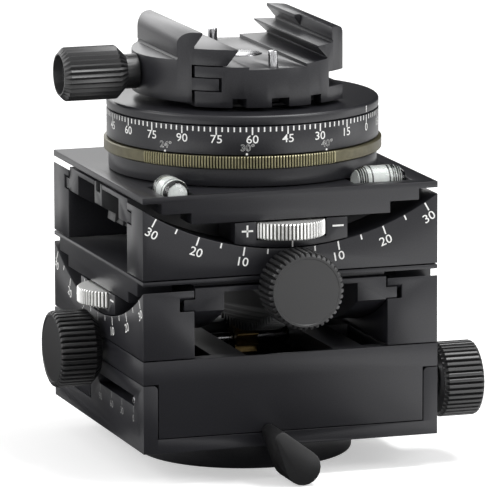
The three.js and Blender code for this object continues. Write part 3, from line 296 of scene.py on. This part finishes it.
class Marks:
    """Flat marks drawn on a face in two dimensions, then laid on the part."""

    def __init__(self):
        self.points = []
        self.faces = []

    def add(self, points, faces, at=(0, 0), turn=0.0):
        first = len(self.points)
        c, s = math.cos(turn), math.sin(turn)
        self.points += [(at[0] + c * x - s * y, at[1] + s * x + c * y) for x, y in points]
        self.faces += [tuple(first + i for i in face) for face in faces]

    def line(self, start, end, width):
        along = (end[0] - start[0], end[1] - start[1])
        length = math.hypot(*along)
        across = (-along[1] / length * width / 2, along[0] / length * width / 2)
        corners = [(p[0] + k * across[0], p[1] + k * across[1]) for p, k in
                   ((start, -1), (end, -1), (end, 1), (start, 1))]
        self.add(corners, [(0, 1, 2, 3)])

    def hanging_bar(self, width, length, at):
        """Upright bar that hangs from a point."""
        self.add([(-width / 2, -length), (width / 2, -length), (width / 2, 0), (-width / 2, 0)],
                 [(0, 1, 2, 3)], at=at)

    def words(self, words, at, size, turn=0.0):
        self.add(*text_outline(words, size), at=at, turn=turn)

    def round_words(self, words, angle, height, size, outlined=0.0):
        """Lettering on the drum: its width becomes an angle."""
        points, faces = text_outline(words, size, outlined)
        self.add([(x * DEGREES_PER_MM, y) for x, y in points], faces, at=(angle, height))

    def lay(self, name, place, material, body):
        """Lays the marks with place(x, y), which gives the point on the part in millimetres."""
        points = [place(x, y) for x, y in self.points]
        return add_piece(name, points, self.faces, material, body, closed=False)


def front_face(x, y):
    return (x, -HALF - PAINT, y)


def left_face(x, y):
    """On the left side, the drawing's x runs towards the front."""
    return (-HALF - PAINT, -x, y)


def drum_face(x, y):
    """On the drum, the drawing's x is the angle in degrees from the front, turning to the right."""
    angle = math.radians(x)
    return ((DIAL_RADIUS + PAINT) * math.sin(angle), -(DIAL_RADIUS + PAINT) * math.cos(angle), y)


DEGREES_PER_MM = math.degrees(1 / DIAL_RADIUS)


# Scales

# Tilt scales on the arc guides. The figures sit a little inside their lines, so that the outermost stay
# on the face.
ARC_LINE_WIDE = 0.42
ARC_LINE_GAP = 0.1
ARC_LINE_LONG = 2.4
ARC_LINE_SHORT = 1.4
ARC_FIGURE_DROP = 4.1
ARC_FIGURE_SIZE = 3.2
ARC_FIGURE_TURN = 0.98


def draw_arc_scale(centre):
    """Tilt scale hanging from an arc guide's edge: a line every 5 degrees to 30, numbered every 10."""
    marks = Marks()
    for angle in range(-30, 31, 5):
        turn = math.radians(angle)
        out = (math.sin(turn), -math.cos(turn))
        near = ARC_RADIUS + ARC_LINE_GAP
        far = near + (ARC_LINE_LONG if angle % 10 == 0 else ARC_LINE_SHORT)
        marks.line((out[0] * near, centre + out[1] * near), (out[0] * far, centre + out[1] * far),
                   ARC_LINE_WIDE)
        if angle and angle % 10 == 0:
            middle, lean = ARC_RADIUS + ARC_FIGURE_DROP, turn * ARC_FIGURE_TURN
            at = (math.sin(lean) * middle, centre - math.cos(lean) * middle)
            marks.words(str(abs(angle)), at, ARC_FIGURE_SIZE, turn)
    return marks


# Marks on the friction blocks, measured from the block's middle and from the arc's centre
INDEX_X = 0.3
INDEX_SPAN = (0.35, 2.4)
SIGN_DROP = 71.0
SIGN_WIDE = 0.5
PLUS_X = -12.5
MINUS_X = 13.3
MINUS_RISE = 0.1
SIGN_REACH = 1.6


def draw_block_marks(centre):
    """Index line, plus and minus on a friction block."""
    marks = Marks()
    bottom, top = INDEX_SPAN
    marks.line((INDEX_X, centre - ARC_RADIUS + bottom), (INDEX_X, centre - ARC_RADIUS + top), ARC_LINE_WIDE)
    level = centre - SIGN_DROP
    marks.line((PLUS_X - SIGN_REACH, level), (PLUS_X + SIGN_REACH, level), SIGN_WIDE)
    marks.line((PLUS_X, level - SIGN_REACH), (PLUS_X, level + SIGN_REACH), SIGN_WIDE)
    marks.line((MINUS_X - SIGN_REACH, level + MINUS_RISE), (MINUS_X + SIGN_REACH, level + MINUS_RISE), SIGN_WIDE)
    return marks


# Panning scale. Its zero is this many degrees to the right of the front.
DIAL_ZERO = 45.9
DIAL_STEP = 2.5
DIAL_NUMBERED = 15
DIAL_LINE_WIDE = 0.4
DIAL_LINE_LONG = 2.1
DIAL_LINE_SHORT = 1.3
DIAL_LINE_DROP = 0.15
DIAL_FIGURE_DROP = 3.45
DIAL_FIGURE_SIZE = 3.0


def draw_dial():
    """Panning scale on the drum: a line every 2.5 degrees, numbered every 15 from 0 to 90 and back."""
    marks = Marks()
    wide = math.degrees(DIAL_LINE_WIDE / DIAL_RADIUS)
    for i in range(int(360 / DIAL_STEP)):
        angle = DIAL_ZERO - i * DIAL_STEP
        major = (i * DIAL_STEP) % DIAL_NUMBERED == 0
        length = DIAL_LINE_LONG if major else DIAL_LINE_SHORT
        marks.hanging_bar(wide, length, (angle, DIAL_TOP - DIAL_LINE_DROP))
        if major:
            turned = i * DIAL_STEP % 180
            number = turned if turned <= 90 else 180 - turned
            marks.round_words(f"{number:.0f}", angle, DIAL_TOP - DIAL_FIGURE_DROP, DIAL_FIGURE_SIZE)
    return marks


# Mark on the turning disc that the panning scale is read at; its width is in degrees on the drum
PAN_INDEX_WIDE = 0.66
PAN_INDEX_LONG = 1.7
PAN_INDEX_DROP = 0.6


def draw_pan_index():
    marks = Marks()
    marks.hanging_bar(PAN_INDEX_WIDE, PAN_INDEX_LONG, (DIAL_ZERO, DISC_TOP - PAN_INDEX_DROP))
    return marks


# Settings of the lock ring: outline figures over dots, in degrees from the front
RING_SETTINGS = (("24°", -52.6), ("30°", -16.8), ("40°", 18.7))
SETTING_SIZE = 2.4
SETTING_STROKE = 0.045
SETTING_SHIFT = 0.7
SETTING_Z = 90.35
DOT_RADIUS = 0.32
DOT_SIDES = 10
DOT_SHIFT = 0.4
DOT_Z = 88.55


def draw_ring_settings():
    """Angles that the lock ring can be set to, in outline figures over a dot."""
    marks = Marks()
    turns = [math.tau * i / DOT_SIDES for i in range(DOT_SIDES)]
    for words, angle in RING_SETTINGS:
        marks.round_words(words, angle + SETTING_SHIFT, SETTING_Z, SETTING_SIZE, outlined=SETTING_STROKE)
        dot = [(DOT_RADIUS * math.cos(turn) * DEGREES_PER_MM, DOT_RADIUS * math.sin(turn)) for turn in turns]
        marks.add(dot, [tuple(range(DOT_SIDES))], at=(angle + DOT_SHIFT, DOT_Z))
    return marks


# Scale of the ninety-degree tilt: each figure's distance from the middle, on the front-to-back axis
TILT_FIGURES = (("0", -32.55), ("30", -22.1), ("60", -12.5), ("90", -1.9))
TILT_LINE_Z = (20.8, 19.0)
TILT_LINE_WIDE = 0.35
TILT_FIGURE_Z = 17.4
TILT_FIGURE_SIZE = 2.6


def draw_tilt_scale():
    """Scale of the ninety-degree tilt under the slot of the left cheek; x runs towards the front."""
    marks = Marks()
    top, bottom = TILT_LINE_Z
    for words, y in TILT_FIGURES:
        marks.line((-y, top), (-y, bottom), TILT_LINE_WIDE)
        marks.words(words, (-y, TILT_FIGURE_Z), TILT_FIGURE_SIZE)
    return marks


# Turned pieces

def around(axis, centre):
    """Gives the point at a height along an axis, a radius and an angle about it."""
    def place(height, radius, angle):
        a, b = radius * math.cos(angle), radius * math.sin(angle)
        if axis == "x":
            return (height, centre[0] + a, centre[1] + b)
        if axis == "y":
            return (centre[0] + b, height, centre[1] + a)
        return (centre[0] + a, centre[1] + b, height)
    return place


def turned_piece(name, place, profile, cut, steps, material, body):
    """A closed turned piece. The profile lists height, radius and how much of cut(step) is taken off there."""
    points = []
    for i in range(steps):
        angle = math.tau * i / steps
        points += [place(height, max(0.0, radius - share * cut(i)), angle) for height, radius, share in profile]
    row = len(profile)
    loops = range(row) if profile[0][1] and profile[-1][1] else range(row - 1)
    faces = []
    for i in range(steps):
        j = (i + 1) % steps
        for k in loops:
            m = (k + 1) % row
            faces.append((i * row + k, j * row + k, j * row + m, i * row + m))
    return add_piece(name, points, faces, material, body)


def no_cut(step):
    return 0.0


def rib_cut(pattern, depth):
    """Repeats a list of shares of the depth round a piece."""
    def cut(step):
        return depth * pattern[step % len(pattern)]
    return cut


# One rib of a knob: a wide crest and a narrow round valley
KNOB_RIB = (0.0, 0.0, 0.0, 0.0, 0.12, 0.75, 1.0, 0.75, 0.12)
KNOB_RIB_DEPTH = 0.95
KNOB_BORE_DEPTH = 2.9

# The face lies inside a rim, set in and a hair deeper
KNOB_RIM = 0.55
KNOB_FACE_DEPTH = 0.12
KNOB_RIM_SLOPE = 0.1

# A point on each rounded chamfer: its share of the chamfer along and across, and of the rib's depth
BACK_ROUND = (0.6, 0.4, 0.55)
FACE_ROUND = (0.35, 0.28, 0.8)


def make_knob(name, node, body, place, radius, ends, chamfers, material):
    """Ribbed knob from its back to its face, with its bore, and a face set in a hair behind its rim."""
    back, face = ends
    way = 1 if face > back else -1
    back_chamfer, face_chamfer = chamfers
    inner = radius - face_chamfer - KNOB_RIM
    floor_at = face - way * KNOB_FACE_DEPTH
    bore_end = floor_at - way * KNOB_BORE_DEPTH
    profile = [
        (bore_end, 0.0, 0),
        (bore_end, SHAFT_BORE, 0),
        (back, SHAFT_BORE, 0),
        (back, radius - back_chamfer, 0),
        (back + way * back_chamfer * BACK_ROUND[0], radius - back_chamfer * BACK_ROUND[1], BACK_ROUND[2]),
        (back + way * back_chamfer, radius, 1),
        (face - way * face_chamfer, radius, 1),
        (face - way * face_chamfer * FACE_ROUND[0], radius - face_chamfer * FACE_ROUND[1], FACE_ROUND[2]),
        (face, radius - face_chamfer, 0),
        (face, inner, 0),
        (floor_at, inner - KNOB_RIM_SLOPE, 0),
        (floor_at, 0.0, 0),
    ]
    cut = rib_cut(KNOB_RIB, KNOB_RIB_DEPTH)
    piece = turned_piece(name, place, profile, cut, len(KNOB_RIB) * KNOB_RIBS, material, body)
    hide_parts(node)


def ring_profile(outer, bore, low, high, chamfer):
    """Six corners, with the bore's face last. The cut takes off the three faces outside."""
    return [(low, bore, 0), (low, outer - chamfer, 0), (low + chamfer, outer, 1), (high - chamfer, outer, 1),
            (high, outer - chamfer, 0), (high, bore, 0)]


RING_SIDES = 6
OUTER_SIDES = (1, 2, 3)

# One knurl: a flat crest and a V groove
KNURL = (0.0, 0.0, 0.6, 1.0, 0.6)
GROOVE_STEPS = (2, 3)
KNURL_DEPTH = 0.5
WHEEL_KNURLS = 64
WHEEL_CHAMFER = 0.35
RING_KNURLS = 288
RING_CHAMFER = 0.3

# The lock ring's two grips lie half a turn apart, and the one in front starts this far to the left
GRIP_START = 62.6
GRIP_SPAN = 85.5


def finish_knurls(piece, crest, groove, is_knurled):
    """Gives the crests and the grooves of a piece made from ring_profile materials of their own. The groove
    material is painted shade, and a paler crest material, where one is given, is a painted highlight.
    """
    piece.data.materials.append(crest)
    piece.data.materials.append(groove)
    for face in piece.data.polygons:
        step, side = divmod(face.index, RING_SIDES)
        if side in OUTER_SIDES and is_knurled(step):
            face.material_index = 2 if step % len(KNURL) in GROOVE_STEPS else 1


def make_friction_wheel(name, node, body, at, level, material, groove):
    """Thumb wheel with 64 straight knurls, 1.1 mm apart."""
    profile = ring_profile(WHEEL_RADIUS, WHEEL_BORE, *level, WHEEL_CHAMFER)
    cut = rib_cut(KNURL, KNURL_DEPTH)
    piece = turned_piece(name, around("z", at), profile, cut, len(KNURL) * WHEEL_KNURLS, material, body)
    finish_knurls(piece, material, groove, lambda step: True)
    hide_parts(node)


def make_lock_ring(material, crest, groove):
    """Ring with fine knurls 0.84 mm apart on two grips, and smooth between them."""
    steps = len(KNURL) * RING_KNURLS

    def is_knurled(step):
        return (math.degrees(math.tau * step / steps) + 90 + GRIP_START) % 180 < GRIP_SPAN

    def cut(step):
        return KNURL_DEPTH * KNURL[step % len(KNURL)] if is_knurled(step) else 0.0

    profile = ring_profile(RING_RADIUS, RING_BORE, *RING_Z, RING_CHAMFER)
    piece = turned_piece("pan_lock_ring_knurled", around("z", (0, 0)), profile, cut, steps, material,
                         "lock_ring")
    finish_knurls(piece, crest, groove, is_knurled)
    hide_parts("pan_lock_ring")


# Inside of a spirit vial: widths and radii along the tube, from end to end
VIAL_TUBE = ((0.7, 2.5), (0.35, 2.2), (0.7, 2.6), (0.35, 2.2), (0.7, 2.6), (0.3, 2.3), (5.8, 2.6),
             (0.3, 2.3), (0.7, 2.6), (0.35, 2.2), (0.7, 2.6), (0.35, 2.2), (0.7, 2.5))
VIAL_TUBE_START = 1.6
VIAL_SIDES = 48

# The two rings that the bubble is read between: places from the middle, radii and width
VIAL_MIDDLE = 7.87
READING_RINGS = (("near", -2.6), ("far", 2.25))
READING_RADII = (2.78, 2.62)
READING_WIDE = 0.35
READING_CHAMFER = 0.02

# The four thin bands round each end plug
END_BANDS = (("near", 1.9), ("far", 11.2))
BAND_COUNT = 4
BAND_PITCH = 0.64
BAND_RADII = (2.95, 2.65)
BAND_WIDE = 0.28
BAND_CHAMFER = 0.05


def make_vial_inside(name, axis, centre, start, white, black):
    """What shows in a spirit vial: a pale tube, the rings that it is read by, and the bands of its ends."""
    place = around(axis, centre)
    at = start + VIAL_TUBE_START
    tube = [(at, 0.0, 0)]
    for width, radius in VIAL_TUBE:
        tube += [(at, radius, 0), (at + width, radius, 0)]
        at += width
    tube.append((at, 0.0, 0))
    turned_piece(f"{name}_tube", place, tube, no_cut, VIAL_SIDES, white, "upper_cradle")
    for label, from_middle in READING_RINGS:
        low = start + VIAL_MIDDLE + from_middle
        ring = ring_profile(*READING_RADII, low, low + READING_WIDE, READING_CHAMFER)
        turned_piece(f"{name}_{label}_ring", place, ring, no_cut, VIAL_SIDES, black, "upper_cradle")
    for label, from_start in END_BANDS:
        for k in range(BAND_COUNT):
            low = start + from_start + BAND_PITCH * k
            band = ring_profile(*BAND_RADII, low, low + BAND_WIDE, BAND_CHAMFER)
            turned_piece(f"{name}_{label}_band_{k + 1}", place, band, no_cut, VIAL_SIDES, black, "upper_cradle")


# Finishes of the solids

# Rounded edges, where they aren't the common size
EDGE_MM = 0.25
OWN_EDGE_MM = {"tray": 0.3, "tilt_body": 0.3, "base_disc": 0.4, "pan_lock_lever": 0.45, "clamp_body": 0.22,
               "lower_rail_left": 0.1, "lower_rail_right": 0.1, "upper_rail_front": 0.1,
               "upper_rail_back": 0.1, "top_plate": 0.2}
WELD_MM = 0.002
FLAT_ANGLE = 0.5
EDGE_ANGLE = 35
CRISP_ANGLE = 32


def dress_solids(finishes, record):
    """Gives every solid its finish, and rounds its edges a little, as tumbling leaves them."""
    slots = {part["node"]: part["material_slot"] for part in record["subparts"]}
    for name, node in frame["nodes"].items():
        node.data.materials.clear()
        node.data.materials.append(finishes[slots[name]])
        node.data.polygons.foreach_set("use_smooth", [True] * len(node.data.polygons))
        weld = node.modifiers.new("join_corners", "WELD")
        weld.merge_threshold = WELD_MM * MM
        flat = node.modifiers.new("merge_flats", "DECIMATE")
        flat.decimate_type = "DISSOLVE"
        flat.angle_limit = math.radians(FLAT_ANGLE)
        edge = node.modifiers.new("soft_edges", "BEVEL")
        edge.width = OWN_EDGE_MM.get(name, EDGE_MM) * MM
        edge.segments = 2
        edge.limit_method = "ANGLE"
        edge.angle_limit = math.radians(EDGE_ANGLE)
        edge.use_clamp_overlap = True
        split = node.modifiers.new("crisp_shading", "EDGE_SPLIT")
        split.split_angle = math.radians(CRISP_ANGLE)


# Studio

def level_sheet(x, y, z):
    return [(x[0], y[0], z), (x[1], y[0], z), (x[1], y[1], z), (x[0], y[1], z)]


def sheet_facing_front(x, y, z):
    return [(x[0], y, z[0]), (x[1], y, z[0]), (x[1], y, z[1]), (x[0], y, z[1])]


def sheet_facing_left(x, y, z):
    return [(x, y[0], z[0]), (x, y[1], z[0]), (x, y[1], z[1]), (x, y[0], z[1])]


def add_sheet(name, corners, material):
    mesh = bpy.data.meshes.new(name)
    mesh.from_pydata([[c * MM for c in p] for p in corners], [], [(0, 1, 2, 3)])
    mesh.materials.append(material)
    sheet = bpy.data.objects.new(name, mesh)
    bpy.context.scene.collection.objects.link(sheet)
    return sheet


def add_card(name, corners, material):
    """A card or panel that only shows in gloss."""
    card = add_sheet(name, corners, material)
    card.visible_camera = False
    card.visible_diffuse = False
    card.visible_shadow = False
    card.visible_transmission = False


# Softboxes: place in metres, side in metres and power in watts. Each looks at the middle of the head.
SOFTBOXES = (
    ("left_softbox", (-1.6, 0.2, 1.0), 1.2, 16),
    ("right_softbox", (1.3, -1.3, 1.1), 1.0, 14),
    ("top_softbox", (0.5, -0.3, 1.5), 0.45, 13),
)
LIT_POINT = (0, 0, 0.06)


def add_softbox(name, at, side, watts):
    lamp = bpy.data.lights.new(name, "AREA")
    lamp.shape = "RECTANGLE"
    lamp.size = side
    lamp.size_y = side
    lamp.energy = watts
    holder = bpy.data.objects.new(name, lamp)
    bpy.context.scene.collection.objects.link(holder)
    holder.location = at
    holder.rotation_euler = (Vector(LIT_POINT) - Vector(at)).to_track_quat("-Z", "Y").to_euler()


def set_world():
    """White surroundings for the eye, for gloss and through glass, and softer light on surfaces."""
    world = bpy.data.worlds.new("studio")
    bpy.context.scene.world = world
    world.use_nodes = True
    tree = world.node_tree
    tree.nodes.clear()
    path = add_node(tree, "ShaderNodeLightPath")
    seen = add_node(tree, "ShaderNodeMath", {"operation": "MAXIMUM"})
    tree.links.new(path.outputs["Is Camera Ray"], seen.inputs[0])
    tree.links.new(path.outputs["Is Glossy Ray"], seen.inputs[1])
    clear = add_node(tree, "ShaderNodeMath", {"operation": "MAXIMUM"})
    tree.links.new(seen.outputs["Value"], clear.inputs[0])
    tree.links.new(path.outputs["Is Transmission Ray"], clear.inputs[1])
    strength = add_node(tree, "ShaderNodeMapRange", values={"To Min": 0.5, "To Max": 1.0},
                        links={"Value": clear.outputs["Value"]})
    background = add_node(tree, "ShaderNodeBackground", values={"Color": srgb("#ffffff")},
                          links={"Strength": strength.outputs["Result"]})
    add_node(tree, "ShaderNodeOutputWorld", links={"Surface": background.outputs["Background"]})


def make_camera():
    lens = bpy.data.cameras.new("camera")
    lens.lens = LENS_MM
    lens.sensor_width = SENSOR_MM
    lens.clip_end = CLIP_END
    camera = bpy.data.objects.new("camera", lens)
    bpy.context.scene.collection.objects.link(camera)
    yaw = Matrix.Rotation(math.radians(-CAMERA_YAW), 4, "Z")
    pitch = Matrix.Rotation(math.radians(90 + CAMERA_PITCH), 4, "X")
    roll = Matrix.Rotation(math.radians(CAMERA_ROLL), 4, "Z")
    camera.matrix_world = Matrix.Translation([c * MM for c in CAMERA_AT]) @ yaw @ pitch @ roll
    bpy.context.scene.camera = camera


make_camera()
bpy.context.scene.view_settings.view_transform = "Standard"

satin_black = black_anodised_aluminium()
knob_black = black_anodised_aluminium("black_anodised_knob", "#1c1c1d", "#242425", 0.36, 0.5)
machined_grey = black_anodised_aluminium("grey_hard_anodised", "#2a2b2c", "#343536", 0.36, 0.4)
bright_steel = turned_metal("turned_stainless_steel", "#9a9a9c", "#c2c2c4", 0.24)
silver_aluminium = turned_metal("silver_anodised_aluminium", "#e8e8e6", "#f4f4f2", 0.42)
# The brass is darkened well below its own colour: painted shade for the shade its parts sit in, between the
# other parts.
brass_darkened_as_painted_shade = turned_metal("brass_darkened_as_painted_shade", "#5c4d30", "#6e5d3c", 0.42)
bronze = bronze_anodised_aluminium()
# Paler copy of the bronze for the lock ring's knurl crests: a painted highlight where the crests catch the
# light.
bronze_crest_highlight = bronze_anodised_aluminium("bronze_crests_painted_highlight", "#8a8568", "#9a9577")
enamel = white_enamel()
worn_enamel = white_enamel("worn_engraving_enamel", "#6c6c6c", "#808080")
vial_white = white_enamel("vial_tube_white", "#e6e8e6", "#f4f6f4")
vial_black = black_anodised_aluminium("vial_ring_black", "#0c0c0c", "#121212", 0.5, 0.3)
# Darker materials for the knurl grooves of the lock ring and of the wheels: painted shade in the grooves.
ring_groove_shade = black_anodised_aluminium("ring_grooves_painted_shade", "#1c1b18", "#28261f", 0.5, 0.2)
wheel_groove_shade = black_anodised_aluminium("wheel_grooves_painted_shade", "#4c4c49", "#5c5c58", 0.5, 0.3)
acrylic = clear_acrylic()
finishes = {
    "black_anodised": satin_black,
    "black_knob": knob_black,
    "grey_anodised": machined_grey,
    "bronze_anodised": bronze,
    "bright_steel": bright_steel,
    "silver_knurl": silver_aluminium,
    "brass": brass_darkened_as_painted_shade,
    "clear_acrylic": acrylic,
}
dress_solids(finishes, frame["record"])

draw_arc_scale(UPPER_CENTRE).lay("upper_scale_marks", front_face, enamel, "lower_cradle")
draw_arc_scale(LOWER_CENTRE).lay("lower_scale_marks", left_face, enamel, "tilt_body")
draw_block_marks(UPPER_CENTRE).lay("upper_block_marks", front_face, enamel, "upper_cradle")
draw_block_marks(LOWER_CENTRE).lay("lower_block_marks", left_face, enamel, "lower_cradle")
draw_dial().lay("dial_marks", drum_face, enamel, "upper_cradle")
draw_ring_settings().lay("ring_setting_marks", drum_face, enamel, "upper_cradle")
draw_tilt_scale().lay("tilt_scale_marks", left_face, worn_enamel, "tray")
draw_pan_index().lay("pan_index_mark", drum_face, enamel, "top_pan")

make_friction_wheel("upper_wheel_knurled", "upper_friction_wheel", "upper_wheel", (0, -WHEEL_REACH),
                    UPPER_WHEEL_Z, silver_aluminium, wheel_groove_shade)
make_friction_wheel("lower_wheel_knurled", "lower_friction_wheel", "lower_wheel", (-WHEEL_REACH, 0),
                    LOWER_WHEEL_Z, silver_aluminium, wheel_groove_shade)
make_lock_ring(bronze, bronze_crest_highlight, ring_groove_shade)
make_knob("upper_drive_knob_ribbed", "upper_drive_knob", "upper_drive", around("y", (0, UPPER_DRIVE_Z)),
          DRIVE_KNOB_RADIUS, DRIVE_KNOB_ENDS, DRIVE_KNOB_CHAMFERS, knob_black)
make_knob("lower_drive_knob_ribbed", "lower_drive_knob", "lower_drive", around("x", (0, LOWER_DRIVE_Z)),
          DRIVE_KNOB_RADIUS, DRIVE_KNOB_ENDS, DRIVE_KNOB_CHAMFERS, knob_black)
make_knob("tilt_lock_knob_ribbed", "tilt_lock_knob", "tilt_knob", around("x", TILT_KNOB_AT),
          TILT_KNOB_RADIUS, TILT_KNOB_ENDS, TILT_KNOB_CHAMFERS, knob_black)
make_vial_inside("right_vial", "x", (RIGHT_VIAL_Y, VIAL_Z), RIGHT_VIAL_START, vial_white, vial_black)
make_vial_inside("left_vial", "y", (LEFT_VIAL_X, VIAL_Z), LEFT_VIAL_START, vial_white, vial_black)

# The floor, and the cards and panels that the satin faces mirror
flock = black_flock()
back_panel = light_panel("back_light_panel", 3.2)
floor_panel = light_panel("front_light_panel", 2.8)
edge_panel = light_panel("edge_light_panel", 5.0)
add_sheet("studio_floor", level_sheet((-4000, 4000), (-4000, 4000), 0), studio_white())
add_card("front_floor_flag", level_sheet((-420, 35), (-460, -31), 0.5), flock)
add_card("left_floor_flag", level_sheet((-170, -45), (10, 300), 0.5), flock)
add_card("back_flag", sheet_facing_front((98, 1600), 262, (60, 1600)), flock)
add_card("back_light", sheet_facing_front((-500, 98), 260, (155, 420)), back_panel)
add_card("front_light", level_sheet((55, 420), (-460, -48), 0.6), floor_panel)
add_card("edge_light", level_sheet((-50, 650), (-520, 180), 900), edge_panel)
add_card("corner_light", level_sheet((-600, -150), (-250, 0), 0.6), floor_panel)
add_card("right_light", sheet_facing_left(300, (-110, 10), (5, 140)), floor_panel)
set_world()
for softbox in SOFTBOXES:
    add_softbox(*softbox)
